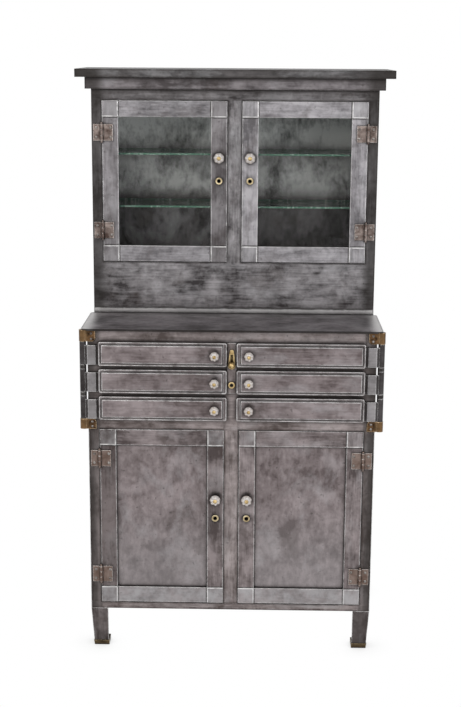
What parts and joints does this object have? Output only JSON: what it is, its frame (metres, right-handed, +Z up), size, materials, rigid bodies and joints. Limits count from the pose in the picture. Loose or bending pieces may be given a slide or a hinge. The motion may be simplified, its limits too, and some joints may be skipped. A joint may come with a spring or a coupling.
{
  "type": "instrument cabinet",
  "caption": "Metal instrument cabinet on tapered legs: glazed showcase over a ledge, swing-out trays with glass knobs, and a cupboard with framed doors.",
  "frame": {"origin": "on the floor, under the middle of the cabinet's bounding box", "axes": "+Z up, +X to the viewer's right when facing the doors, +Y from the doors to the back"},
  "size_m": [0.874, 0.5044, 1.6],
  "materials": {
    "steel": "brushed gunmetal patina",
    "dark_steel": "dark oiled steel",
    "brass": "aged brass",
    "copper": "copper plate, worn",
    "hinge_metal": "worn nickel plate",
    "pane_glass": "clear sheet glass",
    "knob_glass": "pressed glass"
  },
  "bodies": {
    "cabinet": {"base_panels": "steel", "base_decks": "steel", "cupboard_shelf": "steel", "base_face_frame": "steel", "legs": "steel", "leg_shoes": "copper", "worktop": "steel", "pivot_rods": "dark_steel", "corner_brackets": "brass", "lock_strip": "steel", "lock_escutcheons": "brass", "upper_panels": "steel", "upper_decks": "steel", "upper_face_frame": "steel", "cornice": "steel", "crown": "steel", "glass_shelves": "pane_glass", "shelf_clips": "steel", "hinge_frame_leaves": "hinge_metal", "strike_bars": "steel"},
    "upper_left_door": {"upper_left_door_frame": "steel", "upper_left_door_glass": "pane_glass", "upper_left_door_knob": "knob_glass", "upper_left_door_lock": "brass", "upper_left_door_hinge_leaves": "hinge_metal"},
    "upper_right_door": {"upper_right_door_frame": "steel", "upper_right_door_glass": "pane_glass", "upper_right_door_knob": "knob_glass", "upper_right_door_lock": "brass", "upper_right_door_hinge_leaves": "hinge_metal"},
    "lower_left_door": {"lower_left_door_frame": "steel", "lower_left_door_panel": "steel", "lower_left_door_knob": "knob_glass", "lower_left_door_lock": "brass", "lower_left_door_hinge_leaves": "hinge_metal"},
    "lower_right_door": {"lower_right_door_frame": "steel", "lower_right_door_panel": "steel", "lower_right_door_knob": "knob_glass", "lower_right_door_lock": "brass", "lower_right_door_hinge_leaves": "hinge_metal"},
    "left_top_tray": {"left_top_tray_front": "steel", "left_top_tray_box": "steel", "left_top_tray_knob": "knob_glass"},
    "left_middle_tray": {"left_middle_tray_front": "steel", "left_middle_tray_box": "steel", "left_middle_tray_knob": "knob_glass"},
    "left_bottom_tray": {"left_bottom_tray_front": "steel", "left_bottom_tray_box": "steel", "left_bottom_tray_knob": "knob_glass"},
    "right_top_tray": {"right_top_tray_front": "steel", "right_top_tray_box": "steel", "right_top_tray_knob": "knob_glass"},
    "right_middle_tray": {"right_middle_tray_front": "steel", "right_middle_tray_box": "steel", "right_middle_tray_knob": "knob_glass"},
    "right_bottom_tray": {"right_bottom_tray_front": "steel", "right_bottom_tray_box": "steel", "right_bottom_tray_knob": "knob_glass"},
    "latch": {"latch_slide": "brass"},
    "key_plug": {"lock_plug": "brass"}
  },
  "joints": [
    {"name": "upper_left_door_hinge", "type": "hinge", "parent": "cabinet", "child": "upper_left_door", "pos_m": [-0.36875, 0.01, 1.291], "axis": [0, 0, -1], "range_deg": [0, 165]},
    {"name": "upper_right_door_hinge", "type": "hinge", "parent": "cabinet", "child": "upper_right_door", "pos_m": [0.36875, 0.01, 1.291], "axis": [0, 0, 1], "range_deg": [0, 165]},
    {"name": "lower_left_door_hinge", "type": "hinge", "parent": "cabinet", "child": "lower_left_door", "pos_m": [-0.36125, -0.212, 0.384], "axis": [0, 0, -1], "range_deg": [0, 165]},
    {"name": "lower_right_door_hinge", "type": "hinge", "parent": "cabinet", "child": "lower_right_door", "pos_m": [0.36125, -0.212, 0.384], "axis": [0, 0, 1], "range_deg": [0, 165]},
    {"name": "left_top_tray_pivot", "type": "hinge", "parent": "cabinet", "child": "left_top_tray", "pos_m": [-0.4035, -0.20375, 0.85], "axis": [0, 0, -1], "range_deg": [0, 95]},
    {"name": "left_middle_tray_pivot", "type": "hinge", "parent": "cabinet", "child": "left_middle_tray", "pos_m": [-0.4035, -0.20375, 0.7745], "axis": [0, 0, -1], "range_deg": [0, 95]},
    {"name": "left_bottom_tray_pivot", "type": "hinge", "parent": "cabinet", "child": "left_bottom_tray", "pos_m": [-0.4035, -0.20375, 0.699], "axis": [0, 0, -1], "range_deg": [0, 95]},
    {"name": "right_top_tray_pivot", "type": "hinge", "parent": "cabinet", "child": "right_top_tray", "pos_m": [0.4035, -0.20375, 0.85], "axis": [0, 0, 1], "range_deg": [0, 95]},
    {"name": "right_middle_tray_pivot", "type": "hinge", "parent": "cabinet", "child": "right_middle_tray", "pos_m": [0.4035, -0.20375, 0.7745], "axis": [0, 0, 1], "range_deg": [0, 95]},
    {"name": "right_bottom_tray_pivot", "type": "hinge", "parent": "cabinet", "child": "right_bottom_tray", "pos_m": [0.4035, -0.20375, 0.699], "axis": [0, 0, 1], "range_deg": [0, 95]},
    {"name": "latch_travel", "type": "slide", "parent": "cabinet", "child": "latch", "axis": [0, 0, 1], "range_m": [0, 0.02]},
    {"name": "key_turn", "type": "hinge", "parent": "cabinet", "child": "key_plug", "pos_m": [0, -0.2128, 0.766], "axis": [0, 1, 0], "range_deg": [0, 90]}
  ]
}
